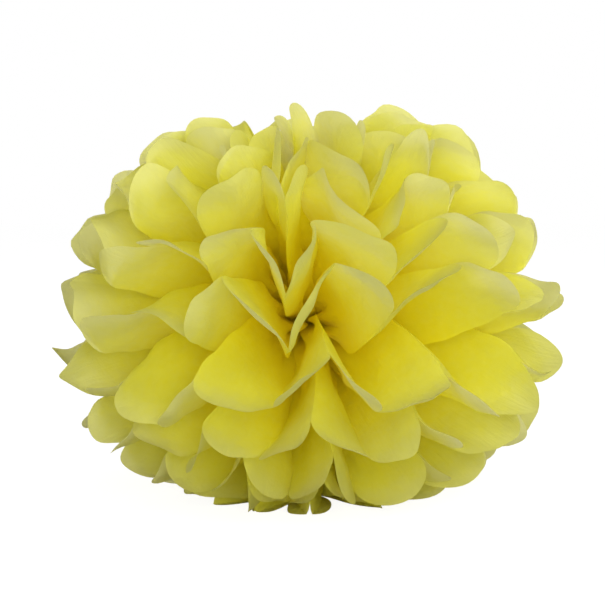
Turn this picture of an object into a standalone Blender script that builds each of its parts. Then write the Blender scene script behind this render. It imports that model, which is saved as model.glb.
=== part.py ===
"""Tissue paper pom pom: ten pleated sheets of tissue gathered at the middle by a twist of wire.

Metres, +Z up. The pom pom rests on a table at z = 0, with its gathered hub over the origin.
Each sheet is one piece: a flat hub in the wire, and a fan of pleats on the front and on the back.
"""
import math
import random

import bmesh
import bpy
from mathutils import Vector

# Tissue: each sheet is cut about 250 mm by 500 mm and folded like a concertina
PAPER = 0.0005              # tissue is about 0.03 mm, drawn thicker so that it is a solid wall
SHEET_GAP = 0.0003          # clear space between two sheets where they lie stacked
PANEL_WIDTH = 0.038         # width of one pleat
TIP_REACH = 0.125           # from the hub's axis to the rounded end of a pleat
NOTCH_DEPTH = 0.019         # how far the folds stop short of the rounded ends
GATHER_LENGTH = 0.054       # from the hub's edge to where a level sheet's pleats have their width
STEEP_GATHER = 0.6          # share by which an upright sheet would be gathered further out
CUP_DEPTH = 0.0025          # how far a pleat that lies open bows out across its width

# The ten sheets, from the top down: how far each fan is pulled up or pushed down, in degrees
SHEET_TILTS = (72, 58, 42, 26, 8, -7, -26, -44, -60, -75)
LEAN_BACK = 0.12            # share of its tilt that a pleat loses from root to rim, arching outwards
STEEPEST_FOLD = 87          # no fold of the top or bottom sheet leans past this
CROWN_CRUSH = 0.07          # share of its length that an upright pleat loses, crowded at the crown
BASE_CRUSH = 0.24           # share that a pleat hanging straight down would lose, under the weight
LOWEST_CRUSH = 0.14         # the same for the lowest sheet, whose ends lie on the table instead

# Where the folds of the front fan point, in degrees from the front towards the right
FRONT_FAN = (-90, -76, -61, -47, -33, -22, -9, 4, 18.5, 34, 50, 65, 78, 90)
FOLDS = len(FRONT_FAN)
BACK_FAN = tuple(-90 + 180 * fold / (FOLDS - 1) for fold in range(FOLDS))

# The folds seen best from the front, read from the photograph: fold number, bearing, elevation
POSED_FOLDS = {
    1: ((4, -33, 57), (6, -9, 66)),
    3: ((5, -18, 50), (6, -5, 34)),
    4: ((3, -45, 24), (4, -25, 19), (5, -13, 32), (6, -5, 13), (7, 3, 32), (8, 21, 17), (9, 35, 32),
        (10, 50, 17)),
    5: ((3, -42, 8), (4, -26, 0), (5, -20, 17.5), (6, -4, -1), (7, 6, 21.5), (8, 19, 8),
        (9, 38, 20), (10, 56, 7)),
    6: ((3, -49, -9), (4, -37, -22), (5, -26, -6), (6, -8, -15), (7, 5, -1), (8, 17, -17),
        (9, 34, -7), (10, 51, -20), (11, 68, -7)),
    7: ((3, -49, -20), (4, -36, -34), (5, -26, -19), (6, -13, -31), (7, 1, -19), (8, 17.5, -31),
        (9, 28, -18), (10, 43, -31)),
}

# The other folds wander from an even fan by the time they reach the rim, each in a slow wave
# from sheet to sheet, so that neighbouring sheets stay clear of each other
LOOSE_FROM = 0.024          # distance from the hub's edge where the folds begin to part
BEARING_WANDER = 4.5        # degrees either way
TILT_WANDER = 3.0           # degrees either way
BEARING_WAVE = 0.8          # radians from one sheet to the next
TILT_WAVE = 1.1             # radians from one sheet to the next
WANDER_SEED = 11

# Hub, where the stack of sheets is gathered in the wire
HUB_RADIUS = 0.006          # of the top and bottom sheets, which turn up or down the most
HUB_FLARE = 0.0006          # how much wider the hub of each sheet nearer the middle is
HUB_HEIGHT = 0.083          # middle of the stack above the table
SLIT_WIDTH = 0.0024         # between the front fan and the back fan of a sheet

# Resting on the table
TABLE_BEND = 0.010          # radius at which the lowest pleats turn out along the table
TABLE_PRESS = 0.012         # how much of their ends the weight presses flat
LEVEL_SLOPE = 0.01          # radians: a fold that falls less than this never reaches the table

# Tie wire
WIRE_RADIUS = 0.00025
WIRE_GAP = 0.0003           # clear space between the wire and the stack
TWIST_TURNS = 3
TWIST_PITCH = 0.004
TWIST_LEAD = 0.0012         # from the loop to where its two ends meet
STRAND_GAP = 0.0002         # clear space between the two twisted ends

# Fineness
INNER_FOLD = 0.014          # first corner of a fold line, from the hub's edge
RIM_STEPS = 6               # straight pieces in the rounded end of a pleat
MITRE_LIMIT = 3.0           # how many times its half thickness the wall is offset at steep folds
TWIST_STEPS = 8             # points in each turn of the twist
CORNER_STEPS = 2            # pieces in each rounded corner of the wire

SHEET_COUNT = len(SHEET_TILTS)
SHEET_PITCH = PAPER + SHEET_GAP
FOLD_LENGTH = TIP_REACH - NOTCH_DEPTH - HUB_RADIUS
CREASE_ROWS = (0.0, INNER_FOLD, GATHER_LENGTH, FOLD_LENGTH)

YELLOW = (0.78, 0.68, 0.06, 1.0)
STEEL = (0.62, 0.62, 0.60, 1.0)
TISSUE_ROUGHNESS = 0.9
STEEL_ROUGHNESS = 0.35


def clear_scene():
    for item in list(bpy.data.objects):
        bpy.data.objects.remove(item, do_unlink=True)


def make_material(name, colour, roughness, metallic):
    material = bpy.data.materials.new(name)
    material.use_nodes = True
    shader = material.node_tree.nodes["Principled BSDF"]
    shader.inputs["Base Color"].default_value = colour
    shader.inputs["Roughness"].default_value = roughness
    shader.inputs["Metallic"].default_value = metallic
    return material


def hub_level(sheet):
    """Height of a sheet's flat hub above the middle of the stack."""
    return ((SHEET_COUNT + 1) / 2 - sheet) * SHEET_PITCH


def table_level(sheet):
    """Height at which a sheet's middle surface lies when it is pressed on the table."""
    return PAPER / 2 + (SHEET_COUNT - sheet) * SHEET_PITCH


def hub_radius(sheet):
    """Radius of a sheet's flat hub, which nests inside the next one like a stack of bowls."""
    return HUB_RADIUS + HUB_FLARE * min(sheet - 1, SHEET_COUNT - sheet)


def crushed(sheet, distance, elevation):
    """How far from the hub's edge a point of a pleat still gets, crushed lengthways where steep."""
    crush = CROWN_CRUSH if elevation > 0 else BASE_CRUSH
    if sheet == SHEET_COUNT:
        crush = LOWEST_CRUSH
    return distance * (1.0 - crush * math.sin(math.radians(elevation)) ** 2)


def tilt_at(sheet, distance):
    """A sheet's mean elevation at a distance from its hub, in degrees."""
    return SHEET_TILTS[sheet - 1] * (1.0 + LEAN_BACK * (0.5 - distance / FOLD_LENGTH))


def pleat_width(sheet, distance):
    """Width of a pleat at a distance from the hub, less near the hub where it is gathered."""
    steepness = math.sin(math.radians(SHEET_TILTS[sheet - 1])) ** 2
    gathered = GATHER_LENGTH * (1.0 + STEEP_GATHER * steepness)
    return PANEL_WIDTH * min(distance / gathered, 1.0)


def pleat_span(sheet, distance):
    """Distance along the fan between two folds."""
    tilt = tilt_at(sheet, distance)
    radius = hub_radius(sheet) + crushed(sheet, distance, tilt) * math.cos(math.radians(tilt))
    return radius * math.pi / (FOLDS - 1)


def half_zigzag(sheet, distance):
    """Angle by which a fold stands off its sheet, so that each pleat has its width there."""
    if distance <= 0.0:
        return 0.0
    width = pleat_width(sheet, distance)
    span = pleat_span(sheet, distance)
    depth = math.sqrt(max(width * width - span * span, 0.0))
    reach = crushed(sheet, distance, tilt_at(sheet, distance))
    return math.degrees(math.asin(min(depth / (2.0 * reach), 1.0)))


def half_wall(sheet, distance):
    """Half the wall, measured across the sheet and so more where its pleats stand steeper."""
    steepness = pleat_width(sheet, distance) / pleat_span(sheet, distance)
    return PAPER / 2 * min(max(steepness, 1.0), MITRE_LIMIT)


def rim_directions(sheet, fan, posed, side):
    """Bearing and elevation at which each fold of a fan reaches the rim.

    The edges of the front and back fans stay side by side, along a slit that curves one way on one
    sheet and the other way on another, so that the slits don't line up.
    """
    tilt = tilt_at(sheet, FOLD_LENGTH)
    stand_off = half_zigzag(sheet, FOLD_LENGTH)
    chance = random.Random(WANDER_SEED + len(fan) * round(fan[1]))
    directions = []
    for fold, bearing in enumerate(fan):
        turn = 1.0 if fold % 2 else -1.0
        start = chance.uniform(0.0, 2.0 * math.pi)
        aside = BEARING_WANDER * math.sin(start + BEARING_WAVE * sheet)
        if fold in (0, FOLDS - 1):
            aside = -side * BEARING_WANDER * math.sin(fold + BEARING_WAVE * sheet)
        lift = TILT_WANDER * math.cos(start + TILT_WAVE * sheet)
        directions.append((bearing + aside, tilt + turn * stand_off + lift))
    for fold, bearing, elevation in posed:
        directions[fold] = (bearing, elevation)
    return directions


def lay_on_table(distance, elevation, drop):
    """How far out and down a fold has gone, and its slope, bending out where it meets the table."""
    steep = math.radians(-elevation)
    if steep <= LEVEL_SLOPE:
        return distance * math.cos(steep), distance * math.sin(steep), steep
    straight = (drop - TABLE_BEND * (1.0 - math.cos(steep))) / math.sin(steep)
    run = min(distance, straight)
    turned = min(max(distance - straight, 0.0) / TABLE_BEND, steep)
    slope = steep - turned
    flat = max(distance - straight - turned * TABLE_BEND, 0.0)
    out = run * math.cos(steep) + TABLE_BEND * (math.sin(steep) - math.sin(slope)) + flat
    fall = run * math.sin(steep) + TABLE_BEND * (math.cos(slope) - math.cos(steep))
    return out, fall, slope


def fold_point(sheet, fan, directions, side, fold, distance):
    """Point on a fold line, and the step from it to the upper face of the paper.

    side is -1 on the front fan and 1 on the back fan.
    """
    loose = max(distance - LOOSE_FROM, 0.0) / (FOLD_LENGTH - LOOSE_FROM)
    loose = min(loose * loose, 1.0)
    turn = 1.0 if fold % 2 else -1.0
    rim_bearing, rim_elevation = directions[fold]
    lift = rim_elevation - tilt_at(sheet, FOLD_LENGTH) - turn * half_zigzag(sheet, FOLD_LENGTH)
    bearing = math.radians(fan[fold] + loose * (rim_bearing - fan[fold]))
    elevation = tilt_at(sheet, distance) + turn * half_zigzag(sheet, distance) + loose * lift
    elevation = min(max(elevation, -STEEPEST_FOLD), STEEPEST_FOLD)
    level = HUB_HEIGHT + hub_level(sheet)
    drop = level - table_level(sheet)
    if sheet == SHEET_COUNT:
        drop += TABLE_PRESS
    out, fall, slope = lay_on_table(crushed(sheet, distance, elevation), elevation, drop)
    wall = half_wall(sheet, distance)
    if distance <= 0.0:
        slope /= 2.0
        wall /= math.cos(slope)

    def turned_out(radius, height):
        across = radius * math.cos(bearing)
        return Vector((radius * math.sin(bearing), side * across, height))

    place = turned_out(hub_radius(sheet) + out, level - fall)
    place.y += side * SLIT_WIDTH / 2
    return place, turned_out(wall * math.sin(slope), wall * math.cos(slope))


class Surface:
    """An open sheet being built: its mesh, and the step to the paper's upper face at each point."""

    def __init__(self, floor):
        self.mesh = bmesh.new()
        self.steps = {}
        self.floor = floor

    def point(self, place, step):
        if place.z <= self.floor:
            place = Vector((place.x, place.y, self.floor))
            step = Vector((0.0, 0.0, PAPER / 2))
        point = self.mesh.verts.new(place)
        self.steps[tuple(point.co)] = step
        return point

    def face(self, *points):
        self.mesh.faces.new(points)


def add_fan(surface, sheet, fan, posed, side):
    """Adds one fan of pleats to the surface and returns the points on the hub's edge."""
    directions = rim_directions(sheet, fan, posed, side)

    def crease(fold, distance):
        return fold_point(sheet, fan, directions, side, fold, distance)

    columns = []
    for fold in range(FOLDS):
        columns.append([surface.point(*crease(fold, distance)) for distance in CREASE_ROWS])
    for fold in range(FOLDS - 1):
        left = columns[fold]
        right = columns[fold + 1]
        for row in range(len(CREASE_ROWS) - 2):
            surface.face(left[row], right[row], right[row + 1], left[row + 1])

        across = right[-1].co - left[-1].co
        openness = pleat_span(sheet, FOLD_LENGTH) / PANEL_WIDTH
        bow = across.cross(left[-1].co - left[-2].co).normalized() * CUP_DEPTH * openness
        if fold % 2 == 0:
            bow.negate()

        def panel_point(share, distance, rise):
            left_place, left_step = crease(fold, distance)
            right_place, right_step = crease(fold + 1, distance)
            place = left_place.lerp(right_place, share) + bow * rise
            return surface.point(place, left_step.lerp(right_step, share))

        middle = panel_point(0.5, FOLD_LENGTH, 1.0)
        surface.face(left[-2], right[-2], middle)
        surface.face(left[-2], middle, left[-1])
        surface.face(right[-2], right[-1], middle)
        rim = [left[-1]]
        for number in range(1, RIM_STEPS):
            angle = math.pi * number / RIM_STEPS
            share = (1.0 - math.cos(angle)) / 2.0
            reach = FOLD_LENGTH + NOTCH_DEPTH * math.sin(angle)
            rim.append(panel_point(share, reach, math.sin(angle)))
        rim.append(right[-1])
        for start, end in zip(rim, rim[1:]):
            surface.face(start, middle, end)
    return [column[0] for column in columns]


def thicken(surface):
    """Turns the open surface into a closed wall of paper, half on each side of it."""
    mesh = surface.mesh
    bmesh.ops.triangulate(mesh, faces=mesh.faces[:])
    result = bmesh.ops.extrude_face_region(mesh, geom=mesh.faces[:])
    upper = {item for item in result["geom"] if isinstance(item, bmesh.types.BMVert)}
    for point in mesh.verts:
        step = surface.steps[tuple(point.co)]
        point.co += step if point in upper else -step
        point.co.z = max(point.co.z, surface.floor - PAPER / 2)
    bmesh.ops.recalc_face_normals(mesh, faces=mesh.faces[:])


def make_sheet(sheet):
    surface = Surface(table_level(sheet))
    front = add_fan(surface, sheet, FRONT_FAN, POSED_FOLDS.get(sheet, ()), -1.0)
    back = add_fan(surface, sheet, BACK_FAN, (), 1.0)
    for fold in range(FOLDS - 1):
        surface.face(front[fold], front[fold + 1], back[fold + 1], back[fold])
    thicken(surface)
    name = f"sheet_{sheet:02d}"
    mesh = bpy.data.meshes.new(name)
    surface.mesh.to_mesh(mesh)
    surface.mesh.free()
    mesh.materials.append(make_material(f"{name}_tissue", YELLOW, TISSUE_ROUGHNESS, 0.0))
    piece = bpy.data.objects.new(name, mesh)
    bpy.context.collection.objects.link(piece)
    return piece


def wire_route():
    """Centre line of the wire: in along one twisted end, round the stack, out along the other."""
    turn_radius = WIRE_GAP + WIRE_RADIUS
    half_stack = (SHEET_COUNT - 1) * SHEET_PITCH / 2 + PAPER / 2
    strand = WIRE_RADIUS + STRAND_GAP / 2
    half_width = HUB_RADIUS + HUB_FLARE * (SHEET_COUNT // 2 - 1)
    loop = []
    for corner, (x_sign, z_sign) in enumerate(((1, 1), (-1, 1), (-1, -1), (1, -1))):
        for step in range(CORNER_STEPS + 1):
            angle = math.pi / 2 * (corner + step / CORNER_STEPS)
            x = x_sign * half_width + turn_radius * math.cos(angle)
            z = z_sign * half_stack + turn_radius * math.sin(angle)
            loop.append(Vector((x, 0.0, z)))
    side = half_width + turn_radius
    loop = [Vector((side, 0.0, TWIST_LEAD))] + loop + [Vector((side, 0.0, -TWIST_LEAD))]
    start = side + TWIST_LEAD
    twist = []
    for step in range(TWIST_TURNS * TWIST_STEPS + 1):
        angle = 2.0 * math.pi * step / TWIST_STEPS
        x = start + TWIST_PITCH * step / TWIST_STEPS
        twist.append((x, strand * math.sin(angle), strand * math.cos(angle)))
    first_end = [Vector(point) for point in reversed(twist)]
    last_end = [Vector((x, -y, -z)) for x, y, z in twist]
    return first_end + loop + last_end


def make_tie_wire():
    curve = bpy.data.curves.new("tie_wire", "CURVE")
    curve.dimensions = "3D"
    curve.bevel_depth = WIRE_RADIUS
    curve.bevel_resolution = 1
    curve.use_fill_caps = True
    route = wire_route()
    spline = curve.splines.new("POLY")
    spline.points.add(len(route) - 1)
    for point, place in zip(spline.points, route):
        point.co = (place.x, place.y, place.z, 1.0)
    curve.materials.append(make_material("tie_wire_steel", STEEL, STEEL_ROUGHNESS, 1.0))
    piece = bpy.data.objects.new("tie_wire", curve)
    bpy.context.collection.objects.link(piece)
    piece.location = (0.0, 0.0, HUB_HEIGHT)
    return piece


def main():
    clear_scene()
    for sheet in range(1, SHEET_COUNT + 1):
        make_sheet(sheet)
    make_tie_wire()


main()
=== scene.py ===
"""Looks of the tissue paper pom pom: ten fine sheets of tissue, gathered at the middle by a wire.

Metres, +Z up, in the frame of the solids. Each fine sheet follows the same folds as its solid, and
adds what limp tissue does between them: gathers by the wire, hollows across its pleats, curled ends
and the soft waves of handled paper.
"""
import math
import random

import bpy
import numpy as np
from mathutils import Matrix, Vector


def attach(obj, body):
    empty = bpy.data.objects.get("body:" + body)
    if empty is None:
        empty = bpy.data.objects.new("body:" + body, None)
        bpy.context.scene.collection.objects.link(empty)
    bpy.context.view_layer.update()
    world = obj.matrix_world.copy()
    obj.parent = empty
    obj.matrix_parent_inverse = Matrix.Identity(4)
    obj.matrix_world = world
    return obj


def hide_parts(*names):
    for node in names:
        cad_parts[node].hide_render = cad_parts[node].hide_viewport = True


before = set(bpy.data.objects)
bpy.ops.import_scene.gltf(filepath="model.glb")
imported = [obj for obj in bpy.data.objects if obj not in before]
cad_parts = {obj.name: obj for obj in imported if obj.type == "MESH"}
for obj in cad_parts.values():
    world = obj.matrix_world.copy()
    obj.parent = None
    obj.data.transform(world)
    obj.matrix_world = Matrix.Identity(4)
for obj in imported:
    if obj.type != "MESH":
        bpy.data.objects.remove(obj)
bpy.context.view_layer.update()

# Tissue, as cut and folded
PAPER = 0.0005              # thickness of the solids, which sets how high the sheets are stacked
SHEET_GAP = 0.0003
PANEL_WIDTH = 0.038
TIP_REACH = 0.125
NOTCH_DEPTH = 0.019
GATHER_LENGTH = 0.054
STEEP_GATHER = 0.6

# Sheets from the top down, and how they lean
SHEET_TILTS = (72, 58, 42, 26, 8, -7, -26, -44, -60, -75)
LEAN_BACK = 0.12
STEEPEST_FOLD = 87
CROWN_CRUSH = 0.07
BASE_CRUSH = 0.24
LOWEST_CRUSH = 0.14

# Bearings of the folds in the front fan and the back fan, in degrees from the front
FRONT_FAN = (-90, -76, -61, -47, -33, -22, -9, 4, 18.5, 34, 50, 65, 78, 90)
FOLDS = len(FRONT_FAN)
BACK_FAN = tuple(-90 + 180 * fold / (FOLDS - 1) for fold in range(FOLDS))

# The folds seen best from the front: fold number, bearing, elevation
POSED_FOLDS = {
    1: ((4, -33, 57), (6, -9, 66)),
    3: ((5, -18, 50), (6, -5, 34)),
    4: ((3, -45, 24), (4, -25, 19), (5, -13, 32), (6, -5, 13), (7, 3, 32), (8, 21, 17), (9, 35, 32),
        (10, 50, 17)),
    5: ((3, -42, 8), (4, -26, 0), (5, -20, 17.5), (6, -4, -1), (7, 6, 21.5), (8, 19, 8),
        (9, 38, 20), (10, 56, 7)),
    6: ((3, -49, -9), (4, -37, -22), (5, -26, -6), (6, -8, -15), (7, 5, -1), (8, 17, -17),
        (9, 34, -7), (10, 51, -20), (11, 68, -7)),
    7: ((3, -49, -20), (4, -36, -34), (5, -26, -19), (6, -13, -31), (7, 1, -19), (8, 17.5, -31),
        (9, 28, -18), (10, 43, -31)),
}

# Wander of the other folds
LOOSE_FROM = 0.024
BEARING_WANDER = 4.5
TILT_WANDER = 3.0
BEARING_WAVE = 0.8
TILT_WAVE = 1.1
WANDER_SEED = 11

# Hub and table
HUB_RADIUS = 0.006
HUB_FLARE = 0.0006
HUB_HEIGHT = 0.083
SLIT_WIDTH = 0.0024
TABLE_BEND = 0.010
TABLE_PRESS = 0.012
LEVEL_SLOPE = 0.01

SHEET_COUNT = len(SHEET_TILTS)
SHEET_PITCH = PAPER + SHEET_GAP
FOLD_LENGTH = TIP_REACH - NOTCH_DEPTH - HUB_RADIUS

# Soft shape of each pleat. The two seeds were chosen by how near the outline comes to the photo's.
COLUMNS = 18                # faces across a pleat
ROWS = 30                   # faces along a pleat
ROUND_FROM = 0.55           # share of the fold where the rows begin to bend towards the round end
HOLLOW = 0.0028             # how far an open pleat bows across its width
HOLLOW_RANGE = (-0.3, 1.4)  # from the flattest pleat's share of that to the deepest one's
LIP_LENGTH = 0.010          # how much of a pleat's end curls
LIP_TURN = 48               # degrees, most turn of that lip
LIP_DOWN = 0.3              # most share of that turn on a lip that curls down instead of up
SWAY = 0.0055               # how far the middle of a pleat's end leans either way
SWAY_LENGTH = 0.045         # over this much of the pleat
GATHER_TURN = 12.0          # degrees of elevation from one small gather to the next, by the wire
GATHER_DEPTH = 0.108        # how far they stand off, as a share of their distance from the hub
GATHER_START = 0.013        # distance from the hub where they begin
GATHER_FULL = 0.026         # where they are full
GATHER_FADE = 0.024         # where they begin to open out
GATHER_END = 0.062          # and where the last one ends
STEEP_FADE = 0.044          # how much further out those two are on an upright sheet
CRUMPLE_DEPTH = 0.0034      # folds across the pleats of a steep sheet, which take up its crush
CRUMPLE_LENGTH = 0.013      # from one to the next
TOUSLE_DEPTH = 0.0030       # of each large soft wave in the crown, the sides and the back
TOUSLE_LENGTHS = (0.075, 0.062, 0.051, 0.043)
CREASE_DEPTH = 0.00035      # of each small wave all over the paper
CREASE_LENGTHS = (0.023, 0.018, 0.015)
SETTLED = 0.006             # how far the paper with large waves has sunk
TOUSLE_START = 0.030        # distance from the hub where both kinds of wave begin
TOUSLE_FULL = 0.085         # and where they are full
TOUSLE_ASIDE = 0.060        # distance left or right of the hub where the large ones begin
SIDE_SHARE = 0.6            # how much of their depth they have there
SHAPE_SEED = 825            # hollows, lips and leaning ends
TOUSLE_SEED = 41            # waves
SMOOTH_ANGLE = 35           # degrees, above which a fold looks sharp

# Colour: what the tissue reflects and what it lets through, deep near the wire as painted shade of
# the crowded folds, and pale at the ends as a painted glow of light through lone layers
REFLECTED_PAINTED_SHADE = (0.98, 0.925, 0.015, 1.0)
REFLECTED_PAINTED_GLOW = (0.98, 0.95, 0.07, 1.0)
REFLECTED_PAINTED_RIM_GLOW = (0.98, 0.965, 0.16, 1.0)
PASSED_PAINTED_SHADE = (0.98, 0.93, 0.20, 1.0)
PASSED_PAINTED_GLOW = (0.97, 0.965, 0.62, 1.0)
PASSED_PAINTED_RIM_GLOW = (0.97, 0.965, 0.66, 1.0)
RIM_GLOW_FROM = 0.88             # share of the way to the rim where the painted glow turns to the rim's stronger painted glow
PAINTED_SHADE_TO = 0.050         # from the middle of the sheet to where the painted shade begins to fade
DYE_UNEVEN = 0.030          # how far the cloudy fibres shift that, from the least to the most
CLOUD_SCALE = 240.0         # clouds to the metre, about
LET_THROUGH = 0.5           # share of the light that the tissue lets through
PAPER_ROUGHNESS = 0.85
PAPER_SHEEN = 0.2

# Fine relief of the tissue, too shallow for the mesh
CRINKLE_SCALE = 90.0        # crinkles to the metre, about
STREAK_SCALES = (700.0, 45.0, 1.0)    # streaks to the metre, across the pleats and along them
STREAK_SHARE = 0.22         # their height, to that of the crinkles
RELIEF = 0.0015             # height of the crinkles
RELIEF_STRENGTH = 0.7

# Steel of the tie wire, from its dark grain to its bright grain
STEEL_DARK = (0.42, 0.42, 0.41, 1.0)
STEEL_BRIGHT = (0.68, 0.68, 0.66, 1.0)
STEEL_ROUGHNESS = (0.3, 0.5)
STEEL_GRAIN = 1500.0        # grains to the metre, about

# Camera, where the photographer stood
CAMERA_DISTANCE = 0.80
CAMERA_ELEVATION = 6.0
CAMERA_LENS = 96.5
CAMERA_SENSOR = 36.0
AIM = Vector((-0.0022, 0.0, HUB_HEIGHT + 0.0097))

# Studio: name, place, width and watts of each lamp, all of them turned to the pom pom
LAMPS = (
    ("key_softbox", (0.45, -0.72, 0.78), 0.6, 2.9),
    ("front_softbox", (0.05, -0.80, 0.13), 0.5, 3.8),
    ("left_back_softbox", (-1.0, 1.0, 0.20), 0.8, 8.0),
    ("right_back_softbox", (1.0, 1.0, 0.20), 0.8, 9.0),
)
WHITE = (1.0, 1.0, 1.0, 1.0)
DOME_STRENGTH = 0.32        # light from all round
FLOOR_SIZE = 6.0
FLOOR_GREY = (0.30, 0.30, 0.30, 1.0)
FLOOR_GLOW = 0.90           # what the floor sends the camera besides the light it reflects
BOUNCES = 24                # of light, so that it gets deep between the pleats
PAPER_BOUNCES = 16          # most of them off the paper, and most of them through it


def hub_level(sheet):
    return ((SHEET_COUNT + 1) / 2 - sheet) * SHEET_PITCH


def table_level(sheet):
    return PAPER / 2 + (SHEET_COUNT - sheet) * SHEET_PITCH


def hub_radius(sheet):
    return HUB_RADIUS + HUB_FLARE * min(sheet - 1, SHEET_COUNT - sheet)


def crushed(sheet, distance, elevation):
    """How far from the hub's edge a point of a pleat still gets, crushed lengthways where steep."""
    base = LOWEST_CRUSH if sheet == SHEET_COUNT else BASE_CRUSH
    crush = np.where(elevation > 0, CROWN_CRUSH, base)
    return distance * (1.0 - crush * np.sin(np.radians(elevation)) ** 2)


def tilt_at(sheet, distance):
    return SHEET_TILTS[sheet - 1] * (1.0 + LEAN_BACK * (0.5 - distance / FOLD_LENGTH))


def pleat_width(sheet, distance):
    steepness = math.sin(math.radians(SHEET_TILTS[sheet - 1])) ** 2
    gathered = GATHER_LENGTH * (1.0 + STEEP_GATHER * steepness)
    return PANEL_WIDTH * np.minimum(distance / gathered, 1.0)


def pleat_span(sheet, distance):
    tilt = tilt_at(sheet, distance)
    radius = hub_radius(sheet) + crushed(sheet, distance, tilt) * np.cos(np.radians(tilt))
    return radius * math.pi / (FOLDS - 1)


def half_zigzag(sheet, distance):
    """Angle by which a fold stands off its sheet, so that each pleat has its width there."""
    squared = pleat_width(sheet, distance) ** 2 - pleat_span(sheet, distance) ** 2
    depth = np.sqrt(np.maximum(squared, 0.0))
    reach = crushed(sheet, distance, tilt_at(sheet, distance))
    share = depth / (2.0 * np.maximum(reach, 1e-6))
    return np.degrees(np.arcsin(np.minimum(share, 1.0))) * (distance > 0.0)


def rim_directions(sheet, fan, posed, side):
    """Bearing and elevation at which each fold of a fan reaches the rim."""
    tilt = tilt_at(sheet, FOLD_LENGTH)
    stand_off = float(half_zigzag(sheet, FOLD_LENGTH))
    chance = random.Random(WANDER_SEED + len(fan) * round(fan[1]))
    directions = []
    for fold, bearing in enumerate(fan):
        turn = 1.0 if fold % 2 else -1.0
        start = chance.uniform(0.0, 2.0 * math.pi)
        aside = BEARING_WANDER * math.sin(start + BEARING_WAVE * sheet)
        if fold in (0, FOLDS - 1):
            aside = -side * BEARING_WANDER * math.sin(fold + BEARING_WAVE * sheet)
        lift = TILT_WANDER * math.cos(start + TILT_WAVE * sheet)
        directions.append((bearing + aside, tilt + turn * stand_off + lift))
    for fold, bearing, elevation in posed:
        directions[fold] = (bearing, elevation)
    return directions


def lay_on_table(distance, elevation, drop):
    """How far out and down a fold has gone, bending out where it meets the table."""
    steep = np.maximum(np.radians(-elevation), LEVEL_SLOPE)
    straight = (drop - TABLE_BEND * (1.0 - np.cos(steep))) / np.sin(steep)
    run = np.minimum(distance, straight)
    turned = np.minimum(np.maximum(distance - straight, 0.0) / TABLE_BEND, steep)
    slope = steep - turned
    flat = np.maximum(distance - straight - turned * TABLE_BEND, 0.0)
    out = run * np.cos(steep) + TABLE_BEND * (np.sin(steep) - np.sin(slope)) + flat
    fall = run * np.sin(steep) + TABLE_BEND * (np.cos(slope) - np.cos(steep))
    level = np.radians(-elevation)
    free = level <= LEVEL_SLOPE
    out = np.where(free, distance * np.cos(level), out)
    return out, np.where(free, distance * np.sin(level), fall)


def fold_line(sheet, fan, directions, side, fold, distance):
    """Points on a fold line at an array of distances from the hub's edge."""
    loose = np.maximum(distance - LOOSE_FROM, 0.0) / (FOLD_LENGTH - LOOSE_FROM)
    loose = np.minimum(loose * loose, 1.0)
    turn = 1.0 if fold % 2 else -1.0
    rim_bearing, rim_elevation = directions[fold]
    lift = rim_elevation - tilt_at(sheet, FOLD_LENGTH) - turn * half_zigzag(sheet, FOLD_LENGTH)
    bearing = np.radians(fan[fold] + loose * (rim_bearing - fan[fold]))
    elevation = tilt_at(sheet, distance) + turn * half_zigzag(sheet, distance) + loose * lift
    elevation = np.clip(elevation, -STEEPEST_FOLD, STEEPEST_FOLD)
    level = HUB_HEIGHT + hub_level(sheet)
    drop = level - table_level(sheet) + (TABLE_PRESS if sheet == SHEET_COUNT else 0.0)
    out, fall = lay_on_table(crushed(sheet, distance, elevation), elevation, drop)
    radius = hub_radius(sheet) + out
    y = side * (radius * np.cos(bearing) + SLIT_WIDTH / 2)
    return np.stack((radius * np.sin(bearing), y, level - fall), axis=-1)


def smooth_step(value):
    value = np.clip(value, 0.0, 1.0)
    return value * value * (3.0 - 2.0 * value)


def unit(vectors):
    length = np.linalg.norm(vectors, axis=-1, keepdims=True)
    return vectors / np.maximum(length, 1e-12)


def gathers(points):
    """Small gathers by the wire, and the crumples of the steep sheets.

    They turn every sheet alike about the pom pom's axis, by how steep and how far from the hub a
    point is, so that sheets which lie clear of each other stay clear.
    """
    from_hub = points - (0.0, 0.0, HUB_HEIGHT)
    reach = np.maximum(np.linalg.norm(from_hub, axis=-1), 1e-6)
    steep = from_hub[..., 2] / reach
    upright = steep ** 4
    fade = GATHER_FADE + STEEP_FADE * upright
    inner = smooth_step((reach - GATHER_START) / (GATHER_FULL - GATHER_START))
    inner = inner * (1.0 - smooth_step((reach - fade) / (GATHER_END - GATHER_FADE)))
    wave = GATHER_DEPTH * reach * np.sin(2 * np.pi * np.arcsin(steep) / math.radians(GATHER_TURN))
    wave = wave + CRUMPLE_DEPTH * upright * np.sin(2 * np.pi * reach / CRUMPLE_LENGTH)
    around = unit(np.stack((-points[..., 1], points[..., 0], 0.0 * reach), axis=-1))
    return around * (inner * wave)[..., None]


def waves(points, depth, lengths, chance):
    """Smooth waves in all directions through space, of one depth and of the lengths given."""
    moved = 0.0 * points
    for length in lengths:
        for axis in range(3):
            heading = [chance.gauss(0.0, 1.0) for _ in range(3)]
            heading = np.array(heading) / math.sqrt(sum(part * part for part in heading))
            start = chance.uniform(0.0, 2.0 * math.pi)
            moved[..., axis] += depth * np.sin(2 * np.pi * points @ heading / length + start)
    return moved


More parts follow.
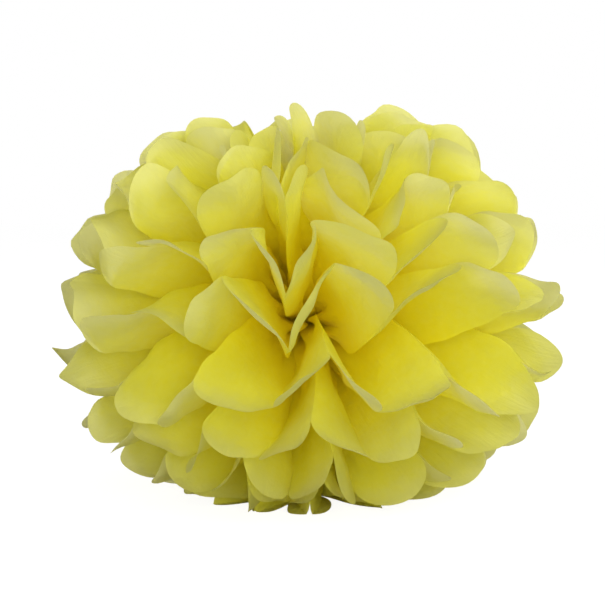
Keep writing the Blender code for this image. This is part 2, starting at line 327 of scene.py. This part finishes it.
def tousled(points):
    """Shift of each point by the soft waves that handling leaves in the paper.

    It depends on the place alone, so that sheets which lie clear of each other stay clear. The
    large waves are in the crown, the sides and the back, and the front's folds keep the places
    read from the photo.
    """
    from_hub = points - (0.0, 0.0, HUB_HEIGHT)
    reach = np.linalg.norm(from_hub, axis=-1)
    out = smooth_step((reach - TOUSLE_START) / (TOUSLE_FULL - TOUSLE_START))
    high = smooth_step((from_hub[..., 2] - TOUSLE_START) / (TOUSLE_FULL - TOUSLE_START))
    behind = smooth_step(from_hub[..., 1] / TOUSLE_FULL)
    aside = smooth_step((np.abs(points[..., 0]) - TOUSLE_ASIDE) / (TIP_REACH - TOUSLE_ASIDE))
    off_table = smooth_step(points[..., 2] / TOUSLE_START)
    large = waves(points, TOUSLE_DEPTH, TOUSLE_LENGTHS, random.Random(TOUSLE_SEED))
    large[..., 2] -= SETTLED
    small = waves(points, CREASE_DEPTH, CREASE_LENGTHS, random.Random(TOUSLE_SEED + 1))
    share = np.maximum(np.maximum(high, behind), SIDE_SHARE * aside) * off_table
    return out[..., None] * (large * share[..., None] + small * off_table[..., None])


def pleat_points(sheet, fan, directions, side, fold, chance):
    """Grid of points on one pleat, from the hub's edge to its round end, and their flat places."""
    turn = np.pi * np.arange(COLUMNS + 1) / COLUMNS
    across = (1.0 - np.cos(turn)) / 2.0
    along = (np.arange(ROWS + 1) / ROWS)[:, None]
    rounding = smooth_step((along - ROUND_FROM) / (1.0 - ROUND_FROM))
    distance = along * FOLD_LENGTH + rounding * NOTCH_DEPTH * np.sin(turn)[None, :]
    left = fold_line(sheet, fan, directions, side, fold, distance)
    right = fold_line(sheet, fan, directions, side, fold + 1, distance)
    points = left + (right - left) * across[None, :, None]

    down_pleat = unit(np.gradient(points, axis=0))
    over_pleat = unit(right - left)
    upward = unit(np.cross(over_pleat, down_pleat)) * (1.0 if side < 0 else -1.0)
    upward *= np.where(upward[-1, COLUMNS // 2, 2] < 0.0, -1.0, 1.0)

    middle = np.sin(turn)[None, :]
    open_share = np.linalg.norm(right - left, axis=-1) / PANEL_WIDTH
    hollow = HOLLOW * chance.uniform(*HOLLOW_RANGE) * (1.0 if fold % 2 else -1.0)
    rise = hollow * middle * smooth_step(distance / GATHER_LENGTH) * open_share

    points = points + gathers(points)

    # a lip follows the round end: what lies within its length of the edge turns up, or a bit down
    edge = FOLD_LENGTH + NOTCH_DEPTH * np.sin(turn)[None, :]
    past = np.maximum(distance - edge + LIP_LENGTH, 0.0) * middle
    rate = math.radians(LIP_TURN) * chance.uniform(-LIP_DOWN, 1.0) / LIP_LENGTH
    curled = (1.0 - np.cos(rate * past)) / rate
    shortened = past - np.sin(rate * past) / rate
    lean = SWAY * chance.uniform(-1.0, 1.0) * middle
    out = np.maximum(distance - (TIP_REACH - HUB_RADIUS - SWAY_LENGTH), 0.0) / SWAY_LENGTH
    rise = rise + lean * out * out
    points = points + upward * (rise + curled)[..., None] - down_pleat * shortened[..., None]
    points = points + tousled(points)
    points[..., 2] = np.maximum(points[..., 2], table_level(sheet))

    flat_across = (fold + across)[None, :] * PANEL_WIDTH + 0.0 * distance
    flat_along = side * (distance + HUB_RADIUS)
    return points, np.stack((flat_across, flat_along), axis=-1)


def sheet_mesh(sheet, name):
    """One whole sheet of tissue: both fans of pleats, joined across the flat hub."""
    points, places, faces = [], [], []
    edges = {}
    chance = random.Random(SHAPE_SEED + sheet)
    for side, fan, posed in ((-1.0, FRONT_FAN, POSED_FOLDS.get(sheet, ())), (1.0, BACK_FAN, ())):
        directions = rim_directions(sheet, fan, posed, side)
        previous = None
        for fold in range(FOLDS - 1):
            grid, flat = pleat_points(sheet, fan, directions, side, fold, chance)
            numbers = np.zeros(grid.shape[:2], dtype=int)
            for row in range(ROWS + 1):
                for column in range(COLUMNS + 1):
                    if column == 0 and previous is not None:
                        numbers[row, 0] = previous[row, COLUMNS]
                        continue
                    numbers[row, column] = len(points)
                    points.append(grid[row, column])
                    places.append(flat[row, column])
            for row in range(ROWS):
                for column in range(COLUMNS):
                    a, b = numbers[row, column], numbers[row, column + 1]
                    c, d = numbers[row + 1, column + 1], numbers[row + 1, column]
                    faces.append((a, b, c, d) if side > 0 else (a, d, c, b))
            edges[side, fold] = numbers[0]
            previous = numbers
    for fold in range(FOLDS - 1):
        front, back = edges[-1.0, fold], edges[1.0, fold]
        for column in range(COLUMNS):
            faces.append((front[column], front[column + 1], back[column + 1], back[column]))
    mesh = bpy.data.meshes.new(name)
    faces = [tuple(map(int, face)) for face in faces]
    mesh.from_pydata([tuple(point) for point in points], [], faces)
    layer = mesh.uv_layers.new(name="flat_sheet")
    for loop in mesh.loops:
        layer.data[loop.index].uv = places[loop.vertex_index]
    mesh.validate()
    mesh.update()
    return mesh


def tissue_paper():
    """Thin dyed tissue: it reflects a deep yellow, and lets a paler light through.

    Near the wire both colours are painted deeper, as painted shade of the crowded folds, and
    towards the round ends paler, as a painted glow of light through lone layers. The fibres make
    both a little uneven, and small crinkles and streaks catch the light.
    """
    material = bpy.data.materials.new("yellow_tissue")
    material.use_nodes = True
    nodes = material.node_tree.nodes
    links = material.node_tree.links
    nodes.clear()
    output = nodes.new("ShaderNodeOutputMaterial")
    paper = nodes.new("ShaderNodeBsdfPrincipled")
    paper.inputs["Roughness"].default_value = PAPER_ROUGHNESS
    paper.inputs["Specular IOR Level"].default_value = PAPER_SHEEN
    glow = nodes.new("ShaderNodeBsdfTranslucent")
    both = nodes.new("ShaderNodeMixShader")
    both.inputs["Fac"].default_value = LET_THROUGH
    links.new(paper.outputs["BSDF"], both.inputs[1])
    links.new(glow.outputs["BSDF"], both.inputs[2])
    links.new(both.outputs["Shader"], output.inputs["Surface"])

    place = nodes.new("ShaderNodeUVMap")
    place.uv_map = "flat_sheet"
    parts = nodes.new("ShaderNodeSeparateXYZ")
    links.new(place.outputs["UV"], parts.inputs["Vector"])
    from_fold = nodes.new("ShaderNodeMath")
    from_fold.operation = "ABSOLUTE"
    links.new(parts.outputs["Y"], from_fold.inputs[0])
    cloud = nodes.new("ShaderNodeTexNoise")
    cloud.inputs["Scale"].default_value = CLOUD_SCALE
    cloud.inputs["Detail"].default_value = 4.0
    links.new(place.outputs["UV"], cloud.inputs["Vector"])
    uneven = nodes.new("ShaderNodeMath")
    uneven.operation = "MULTIPLY_ADD"
    uneven.inputs[1].default_value = DYE_UNEVEN
    links.new(cloud.outputs["Fac"], uneven.inputs[0])
    links.new(from_fold.outputs["Value"], uneven.inputs[2])
    # painted shade near the wire, fading by distance from the hub to a painted glow at the round
    # ends and rims
    shade_to_glow = nodes.new("ShaderNodeMapRange")
    shade_to_glow.interpolation_type = "SMOOTHSTEP"
    shade_to_glow.inputs["From Min"].default_value = PAINTED_SHADE_TO + DYE_UNEVEN / 2
    shade_to_glow.inputs["From Max"].default_value = TIP_REACH + DYE_UNEVEN / 2
    links.new(uneven.outputs["Value"], shade_to_glow.inputs["Value"])
    for shader, socket, deep, pale, rim in (
        (paper, "Base Color", REFLECTED_PAINTED_SHADE, REFLECTED_PAINTED_GLOW, REFLECTED_PAINTED_RIM_GLOW),
        (glow, "Color", PASSED_PAINTED_SHADE, PASSED_PAINTED_GLOW, PASSED_PAINTED_RIM_GLOW),
    ):
        ramp = nodes.new("ShaderNodeValToRGB")
        ramp.color_ramp.elements[0].color = deep
        ramp.color_ramp.elements[1].color = rim
        ramp.color_ramp.elements.new(RIM_GLOW_FROM).color = pale
        links.new(shade_to_glow.outputs["Result"], ramp.inputs["Fac"])
        links.new(ramp.outputs["Color"], shader.inputs[socket])

    crinkle = nodes.new("ShaderNodeTexNoise")
    crinkle.inputs["Scale"].default_value = CRINKLE_SCALE
    crinkle.inputs["Detail"].default_value = 4.0
    links.new(place.outputs["UV"], crinkle.inputs["Vector"])
    lengthways = nodes.new("ShaderNodeVectorMath")
    lengthways.operation = "MULTIPLY"
    lengthways.inputs[1].default_value = STREAK_SCALES
    links.new(place.outputs["UV"], lengthways.inputs[0])
    streaks = nodes.new("ShaderNodeTexNoise")
    streaks.inputs["Scale"].default_value = 1.0
    streaks.inputs["Detail"].default_value = 2.0
    links.new(lengthways.outputs["Vector"], streaks.inputs["Vector"])
    height = nodes.new("ShaderNodeMath")
    height.operation = "MULTIPLY_ADD"
    height.inputs[1].default_value = STREAK_SHARE
    links.new(streaks.outputs["Fac"], height.inputs[0])
    links.new(crinkle.outputs["Fac"], height.inputs[2])
    bump = nodes.new("ShaderNodeBump")
    bump.inputs["Strength"].default_value = RELIEF_STRENGTH
    bump.inputs["Distance"].default_value = RELIEF
    links.new(height.outputs["Value"], bump.inputs["Height"])
    links.new(bump.outputs["Normal"], paper.inputs["Normal"])
    links.new(bump.outputs["Normal"], glow.inputs["Normal"])
    return material


def wire_steel():
    """Dull drawn steel with a fine grain."""
    material = bpy.data.materials.new("dull_wire")
    material.use_nodes = True
    nodes = material.node_tree.nodes
    links = material.node_tree.links
    steel = nodes["Principled BSDF"]
    steel.inputs["Metallic"].default_value = 1.0
    place = nodes.new("ShaderNodeTexCoord")
    grain = nodes.new("ShaderNodeTexNoise")
    grain.inputs["Scale"].default_value = STEEL_GRAIN
    links.new(place.outputs["Object"], grain.inputs["Vector"])
    ramp = nodes.new("ShaderNodeValToRGB")
    ramp.color_ramp.elements[0].color = STEEL_DARK
    ramp.color_ramp.elements[1].color = STEEL_BRIGHT
    links.new(grain.outputs["Fac"], ramp.inputs["Fac"])
    links.new(ramp.outputs["Color"], steel.inputs["Base Color"])
    roughness = nodes.new("ShaderNodeMapRange")
    roughness.inputs["To Min"].default_value = STEEL_ROUGHNESS[0]
    roughness.inputs["To Max"].default_value = STEEL_ROUGHNESS[1]
    links.new(grain.outputs["Fac"], roughness.inputs["Value"])
    links.new(roughness.outputs["Result"], steel.inputs["Roughness"])
    return material


def add_sheets(material):
    for sheet in range(1, SHEET_COUNT + 1):
        name = f"tissue_sheet_{sheet:02d}"
        piece = bpy.data.objects.new(name, sheet_mesh(sheet, name))
        bpy.context.collection.objects.link(piece)
        piece.data.materials.append(material)
        bpy.ops.object.select_all(action="DESELECT")
        piece.select_set(True)
        bpy.context.view_layer.objects.active = piece
        bpy.ops.object.shade_smooth_by_angle(angle=math.radians(SMOOTH_ANGLE))
        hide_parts(f"sheet_{sheet:02d}")
        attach(piece, "root")


def face_aim(thing):
    thing.rotation_euler = (AIM - thing.location).to_track_quat("-Z", "Y").to_euler()


def add_camera():
    camera = bpy.data.cameras.new("photo_camera")
    camera.sensor_width = CAMERA_SENSOR
    camera.lens = CAMERA_LENS
    seat = bpy.data.objects.new("photo_camera", camera)
    bpy.context.collection.objects.link(seat)
    rise = math.radians(CAMERA_ELEVATION)
    hub = Vector((0.0, 0.0, HUB_HEIGHT))
    seat.location = hub + CAMERA_DISTANCE * Vector((0.0, -math.cos(rise), math.sin(rise)))
    face_aim(seat)
    bpy.context.scene.camera = seat


def seen_directly(nodes, links):
    """1 for a ray from the camera, and for one that goes on from a glossy or a clear piece, else 0.

    Light that spreads on its way through the paper is no view of the background, so it counts 0.
    """
    seen = nodes.new("ShaderNodeLightPath")
    clear = nodes.new("ShaderNodeMath")
    clear.operation = "SUBTRACT"
    links.new(seen.outputs["Is Transmission Ray"], clear.inputs[0])
    links.new(seen.outputs["Is Diffuse Ray"], clear.inputs[1])
    either = nodes.new("ShaderNodeMath")
    either.operation = "MAXIMUM"
    links.new(seen.outputs["Is Glossy Ray"], either.inputs[0])
    links.new(clear.outputs["Value"], either.inputs[1])
    any_of = nodes.new("ShaderNodeMath")
    any_of.operation = "MAXIMUM"
    links.new(seen.outputs["Is Camera Ray"], any_of.inputs[0])
    links.new(either.outputs["Value"], any_of.inputs[1])
    return any_of.outputs["Value"]


def add_floor():
    """Pale matt floor, which looks white and still takes the pom pom's shadow."""
    bpy.ops.object.select_all(action="DESELECT")
    bpy.ops.mesh.primitive_plane_add(size=FLOOR_SIZE, location=(0.0, 0.0, 0.0))
    floor = bpy.context.active_object
    floor.name = "studio_floor"
    material = bpy.data.materials.new("studio_white")
    material.use_nodes = True
    nodes = material.node_tree.nodes
    links = material.node_tree.links
    nodes.clear()
    output = nodes.new("ShaderNodeOutputMaterial")
    matt = nodes.new("ShaderNodeBsdfDiffuse")
    matt.inputs["Color"].default_value = FLOOR_GREY
    white = nodes.new("ShaderNodeEmission")
    white.inputs["Color"].default_value = WHITE
    level = nodes.new("ShaderNodeMath")
    level.operation = "MULTIPLY"
    level.inputs[1].default_value = FLOOR_GLOW
    links.new(seen_directly(nodes, links), level.inputs[0])
    links.new(level.outputs["Value"], white.inputs["Strength"])
    both = nodes.new("ShaderNodeAddShader")
    links.new(matt.outputs["BSDF"], both.inputs[0])
    links.new(white.outputs["Emission"], both.inputs[1])
    links.new(both.outputs["Shader"], output.inputs["Surface"])
    floor.data.materials.append(material)


def add_lights():
    """Soft dome of light with a white backdrop, and the softboxes."""
    world = bpy.data.worlds.new("studio")
    bpy.context.scene.world = world
    world.use_nodes = True
    nodes = world.node_tree.nodes
    links = world.node_tree.links
    dome = nodes["Background"]
    dome.inputs["Color"].default_value = WHITE
    dome.inputs["Strength"].default_value = DOME_STRENGTH
    white = nodes.new("ShaderNodeBackground")
    white.inputs["Color"].default_value = WHITE
    white.inputs["Strength"].default_value = 1.0
    mix = nodes.new("ShaderNodeMixShader")
    links.new(seen_directly(nodes, links), mix.inputs["Fac"])
    links.new(dome.outputs["Background"], mix.inputs[1])
    links.new(white.outputs["Background"], mix.inputs[2])
    links.new(mix.outputs["Shader"], nodes["World Output"].inputs["Surface"])
    for name, place, size, power in LAMPS:
        lamp = bpy.data.lights.new(name, "AREA")
        lamp.size = size
        lamp.energy = power
        seat = bpy.data.objects.new(name, lamp)
        bpy.context.collection.objects.link(seat)
        seat.location = place
        face_aim(seat)


add_camera()
add_floor()
add_lights()
add_sheets(tissue_paper())
steel = wire_steel()
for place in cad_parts["tie_wire"].material_slots:
    place.material = steel
scene = bpy.context.scene
scene.view_settings.view_transform = "Standard"
scene.cycles.max_bounces = BOUNCES
scene.cycles.diffuse_bounces = PAPER_BOUNCES
scene.cycles.transmission_bounces = PAPER_BOUNCES
